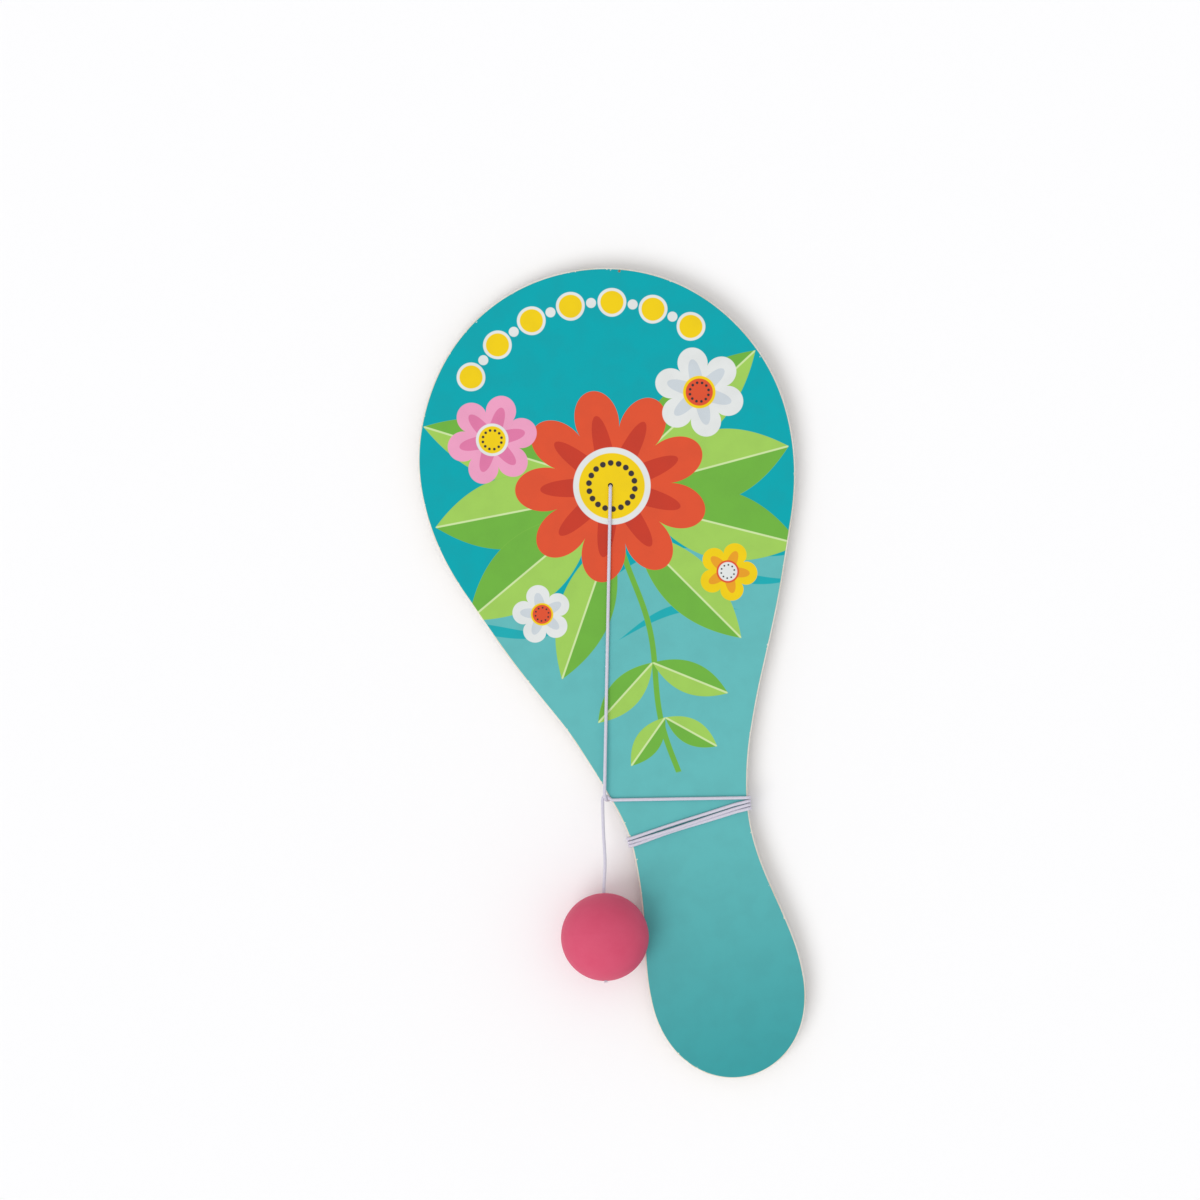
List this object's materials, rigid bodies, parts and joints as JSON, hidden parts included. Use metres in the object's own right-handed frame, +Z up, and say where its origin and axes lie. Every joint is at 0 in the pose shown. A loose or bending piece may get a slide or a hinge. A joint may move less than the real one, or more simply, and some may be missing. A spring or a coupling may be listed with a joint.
{
  "type": "paddle ball game",
  "caption": "Flat wooden paddle with a printed face and a rubber ball on an elastic cord that is knotted behind the head, wound round the neck and knotted inside the ball.",
  "frame": {"origin": "on the table, under the middle of the paddle", "axes": "+X across the paddle to the right of its printed face, +Y along the paddle towards its head, +Z up out of the printed face"},
  "size_m": [0.12, 0.264, 0.028],
  "materials": {
    "board_wood": "sanded pale plywood with eased edges, bare behind",
    "printed_sheet": "satin printed sheet glued to the front face",
    "elastic_cord": "white braid over a rubber core",
    "ball_rubber": "matt moulded solid rubber"
  },
  "bodies": {
    "paddle": {"board": "board_wood", "front_print": "printed_sheet", "cord_back_knot": "elastic_cord", "cord_front_run": "elastic_cord", "cord_winding": "elastic_cord"},
    "drop_lead": {"cord_lead": "elastic_cord"},
    "drop": {"cord_drop": "elastic_cord"},
    "ball_tie": {"cord_in_ball": "elastic_cord", "ball_knot": "elastic_cord"},
    "ball": {"ball": "ball_rubber"}
  },
  "joints": [
    {"name": "ball_swing", "type": "hinge", "parent": "paddle", "child": "drop_lead", "pos_m": [-0.0259, -0.03618, 0.00833], "axis": [0, 0, -1], "range_deg": [0, 95]},
    {"name": "ball_lift", "type": "hinge", "parent": "drop_lead", "child": "drop", "pos_m": [-0.02691, -0.04104, 0.00899], "axis": [-0.9792, 0.2028, 0], "range_deg": [0, 95]},
    {"name": "cord_stretch", "type": "slide", "parent": "drop", "child": "ball_tie", "axis": [-0.201, -0.9706, 0.1324], "range_m": [0, 0.04], "stiffness_N_per_m": 60, "deforming": ["cord_drop"]},
    {"name": "ball_spin", "type": "hinge", "parent": "ball_tie", "child": "ball", "pos_m": [-0.03451, -0.07773, 0.014], "axis": [-0.201, -0.9706, 0.1324], "continuous": true}
  ]
}
